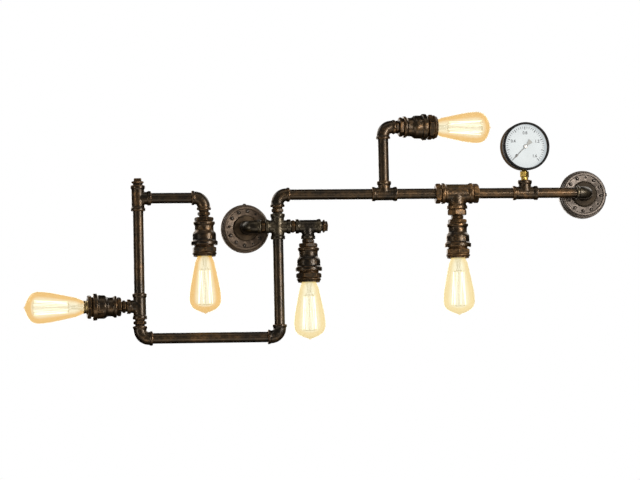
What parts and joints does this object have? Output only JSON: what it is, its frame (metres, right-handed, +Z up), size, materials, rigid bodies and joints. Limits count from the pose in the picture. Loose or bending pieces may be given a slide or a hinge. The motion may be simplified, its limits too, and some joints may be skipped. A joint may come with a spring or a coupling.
{
  "type": "wall lamp",
  "caption": "Industrial pipe wall lamp of threaded fittings with filament bulbs on swinging and tilting arms, a dial gauge and round wall canopies.",
  "frame": {"origin": "on the wall plane, at the centre of the left wall bracket and canopy", "axes": "+X right along the main pipe, +Y into the wall, +Z up"},
  "size_m": [1.2024, 0.0923, 0.4684],
  "materials": {
    "aged_fitting": "aged dark bronze on malleable iron, edges worn to copper",
    "aged_pipe": "aged dark bronze on steel pipe",
    "canopy_metal": "aged dark bronze with a grey bloom",
    "plated_steel": "zinc plated",
    "porcelain": "glazed porcelain",
    "gauge_brass": "satin brass",
    "gauge_black": "black enamel",
    "dial_white": "matt white",
    "pointer_grey": "dark grey",
    "clear_glass": "clear",
    "amber_glass": "clear amber",
    "cap_brass": "bright brass"
  },
  "bodies": {
    "frame": {"wall_brackets": "plated_steel", "left_canopy": "canopy_metal", "right_canopy": "canopy_metal", "canopy_rivets": "canopy_metal", "canopy_screws": "canopy_metal", "canopy_nipples": "aged_pipe", "canopy_locknuts": "plated_steel", "terminal_block": "porcelain", "wall_elbows": "aged_fitting", "frame_elbows": "aged_fitting", "pipe_cross": "aged_fitting", "frame_nipples": "aged_fitting", "left_post": "aged_pipe", "right_post": "aged_pipe", "bottom_pipe": "aged_pipe", "main_pipes": "aged_pipe", "frame_tees": "aged_fitting", "large_tee": "aged_fitting", "frame_bushes": "aged_fitting", "fixed_lamp_bells": "aged_fitting", "fixed_lamp_mouths": "aged_fitting", "fixed_lamp_sockets": "porcelain"},
    "left_arm": {"left_arm_tee": "aged_fitting", "left_arm_plug": "aged_fitting", "left_arm_pipe": "aged_pipe"},
    "left_lamp": {"left_lamp_elbow": "aged_fitting", "left_lamp_adapters": "aged_fitting", "left_lamp_bell": "aged_fitting", "left_lamp_mouth": "aged_fitting", "left_lamp_socket": "porcelain"},
    "upper_arm": {"riser_pipe": "aged_pipe", "upper_arm_elbow": "aged_fitting", "upper_lamp_adapters": "aged_fitting", "upper_lamp_bell": "aged_fitting", "upper_lamp_mouth": "aged_fitting", "upper_lamp_socket": "porcelain"},
    "stub_lamp": {"stub_tee": "aged_fitting", "stub_plug": "aged_fitting", "stub_lamp_adapters": "aged_fitting", "stub_lamp_bell": "aged_fitting", "stub_lamp_mouth": "aged_fitting", "stub_lamp_socket": "porcelain"},
    "gauge": {"gauge_stem": "gauge_brass", "gauge_case": "gauge_black", "gauge_bezel": "gauge_black", "gauge_glass": "clear_glass", "gauge_dial": "dial_white", "gauge_movement": "gauge_brass"},
    "pointer": {"gauge_pointer": "pointer_grey"},
    "bulb_1": {"bulb_1_glass": "amber_glass", "bulb_1_base": "cap_brass"},
    "bulb_2": {"bulb_2_glass": "amber_glass", "bulb_2_base": "cap_brass"},
    "bulb_3": {"bulb_3_glass": "amber_glass", "bulb_3_base": "cap_brass"},
    "bulb_4": {"bulb_4_glass": "amber_glass", "bulb_4_base": "cap_brass"},
    "bulb_5": {"bulb_5_glass": "amber_glass", "bulb_5_base": "cap_brass"}
  },
  "joints": [
    {"name": "left_arm_swing", "type": "hinge", "parent": "frame", "child": "left_arm", "pos_m": [-0.221, -0.06, 0.059], "axis": [0, 0, 1], "range_deg": [-100, 5]},
    {"name": "left_lamp_tilt", "type": "hinge", "parent": "left_arm", "child": "left_lamp", "pos_m": [-0.089, -0.06, 0.059], "axis": [-1, 0, 0], "range_deg": [0, 100]},
    {"name": "upper_arm_swing", "type": "hinge", "parent": "frame", "child": "upper_arm", "pos_m": [0.278, -0.06, 0.09], "axis": [0, 0, 1], "range_deg": [-185, 0]},
    {"name": "stub_lamp_tilt", "type": "hinge", "parent": "frame", "child": "stub_lamp", "pos_m": [0.121, -0.06, 0], "axis": [-1, 0, 0], "range_deg": [0, 100]},
    {"name": "gauge_swivel", "type": "hinge", "parent": "frame", "child": "gauge", "pos_m": [0.5677, -0.06, 0.09], "axis": [0, 0, 1], "range_deg": [-41, 29]},
    {"name": "pointer_turn", "type": "hinge", "parent": "gauge", "child": "pointer", "pos_m": [0.5677, -0.06, 0.158], "axis": [-0.1045, 0.9945, 0], "range_deg": [0, 270], "stiffness_Nm_per_rad": 0.002, "springref_deg": -11.46},
    {"name": "bulb_1_out", "type": "slide", "parent": "frame", "child": "bulb_1", "axis": [-1, 0, 0], "range_m": [0, 0.02]},
    {"name": "bulb_2_out", "type": "slide", "parent": "left_lamp", "child": "bulb_2", "axis": [0, 0, -1], "range_m": [0, 0.02]},
    {"name": "bulb_3_out", "type": "slide", "parent": "stub_lamp", "child": "bulb_3", "axis": [0, 0, -1], "range_m": [0, 0.02]},
    {"name": "bulb_4_out", "type": "slide", "parent": "frame", "child": "bulb_4", "axis": [0, 0, -1], "range_m": [0, 0.02]},
    {"name": "bulb_5_out", "type": "slide", "parent": "upper_arm", "child": "bulb_5", "axis": [0.9962, 0.0872, 0], "range_m": [0, 0.02]}
  ]
}
